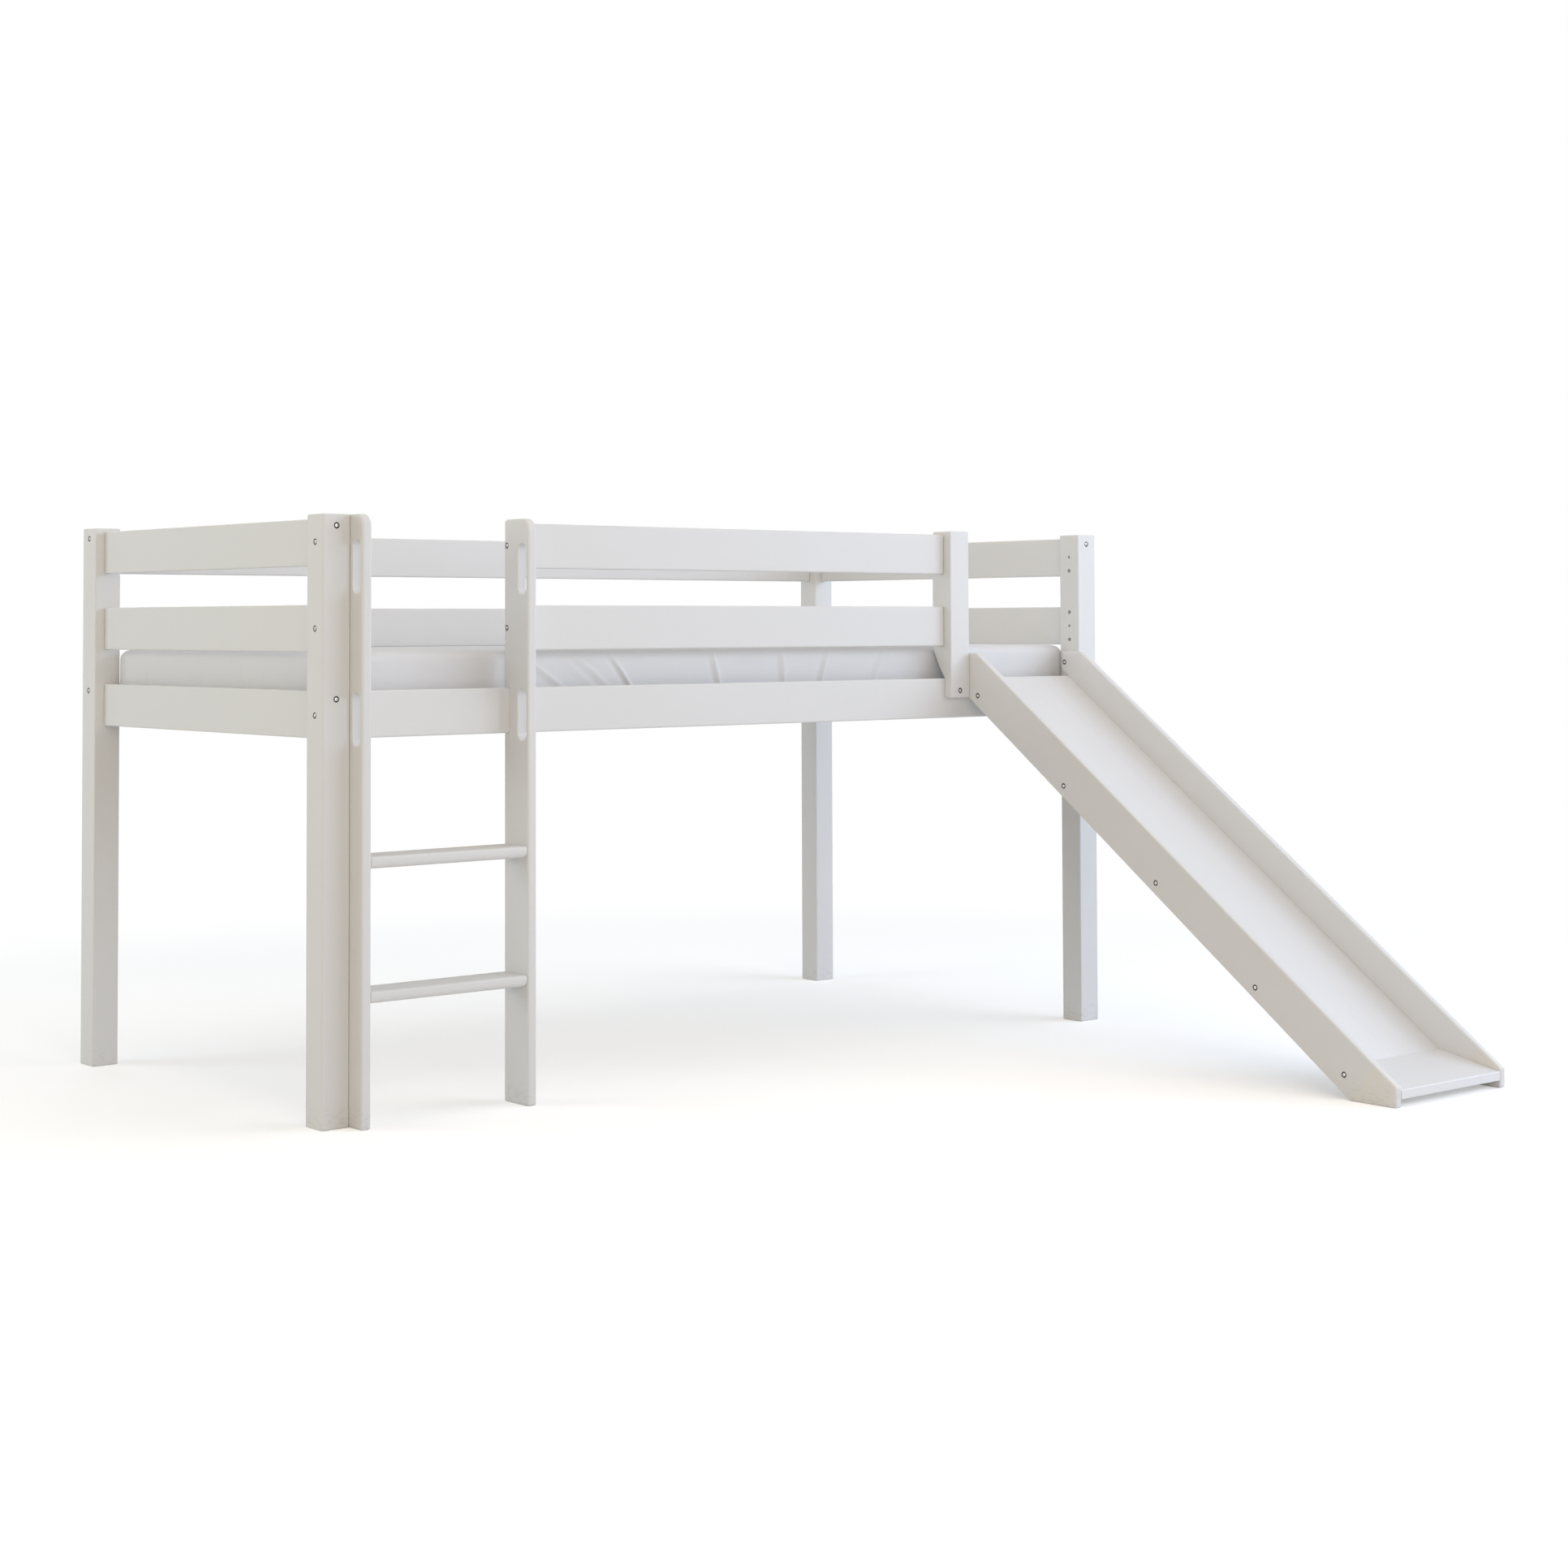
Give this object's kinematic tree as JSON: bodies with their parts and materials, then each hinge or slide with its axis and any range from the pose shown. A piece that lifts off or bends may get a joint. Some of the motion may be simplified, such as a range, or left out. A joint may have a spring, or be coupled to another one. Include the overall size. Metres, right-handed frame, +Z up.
{
  "type": "mid-height loft bed with slide",
  "caption": "Mid-height loft bed: plank rails bolted to square posts, guard rails, an upright plank ladder, a slide hooked over the front rail, a slat base and a lift-out mattress.",
  "frame": {"origin": "on the floor, under the middle of the outline of bed and slide together", "axes": "+Z up; +X along the bed from the ladder end to the slide end; +Y from the ladder side to the rear side, so the slide runs out towards -Y"},
  "size_m": [2.09, 2.114, 1.13],
  "materials": {
    "white_paint": "satin white paint on wood",
    "slide_surface": "smooth white laminate, slightly glossy",
    "slat_wood": "bare planed pine",
    "bolt_steel": "zinc-plated steel, satin",
    "mattress_cover": "pale stretch cover, matt"
  },
  "bodies": {
    "frame": {"bolt_front_left_low": "bolt_steel", "bolt_front_left_top": "bolt_steel", "bolt_front_right_low": "bolt_steel", "bolt_front_right_top": "bolt_steel", "bolt_guard_post": "bolt_steel", "bolt_ladder_middle": "bolt_steel", "bolt_ladder_post_low": "bolt_steel", "bolt_ladder_post_middle": "bolt_steel", "bolt_ladder_post_top": "bolt_steel", "bolt_ladder_top": "bolt_steel", "bolt_rear_left_low": "bolt_steel", "bolt_rear_left_top": "bolt_steel", "bolt_slide_1": "bolt_steel", "bolt_slide_2": "bolt_steel", "bolt_slide_3": "bolt_steel", "bolt_slide_4": "bolt_steel", "bolt_slide_head_left": "bolt_steel", "bolt_slide_head_right": "bolt_steel", "bolt_slide_runout": "bolt_steel", "front_rail_low": "white_paint", "guard_post": "white_paint", "guard_rail_middle": "white_paint", "guard_rail_top": "white_paint", "ladder_stile_left": "white_paint", "ladder_stile_right": "white_paint", "left_end_rail_low": "white_paint", "left_end_rail_middle": "white_paint", "left_end_rail_top": "white_paint", "post_front_left": "white_paint", "post_front_right": "white_paint", "post_rear_left": "white_paint", "post_rear_right": "white_paint", "rear_rail_low": "white_paint", "rear_rail_middle": "white_paint", "rear_rail_top": "white_paint", "right_end_rail_low": "white_paint", "right_end_rail_middle": "white_paint", "right_end_rail_top": "white_paint", "rung_1": "white_paint", "rung_2": "white_paint", "slat_01": "slat_wood", "slat_02": "slat_wood", "slat_03": "slat_wood", "slat_04": "slat_wood", "slat_05": "slat_wood", "slat_06": "slat_wood", "slat_07": "slat_wood", "slat_08": "slat_wood", "slat_09": "slat_wood", "slat_10": "slat_wood", "slat_11": "slat_wood", "slat_12": "slat_wood", "slat_13": "slat_wood", "slat_ledge_front": "slat_wood", "slat_ledge_rear": "slat_wood", "slide_board_left": "white_paint", "slide_board_right": "white_paint", "slide_panel": "slide_surface", "slide_runout": "slide_surface"},
    "mattress": {"mattress": "mattress_cover"}
  },
  "joints": [
    {"name": "mattress_lift", "type": "slide", "parent": "frame", "child": "mattress", "axis": [0, 0, 1], "range_m": [0, 0.4]}
  ]
}
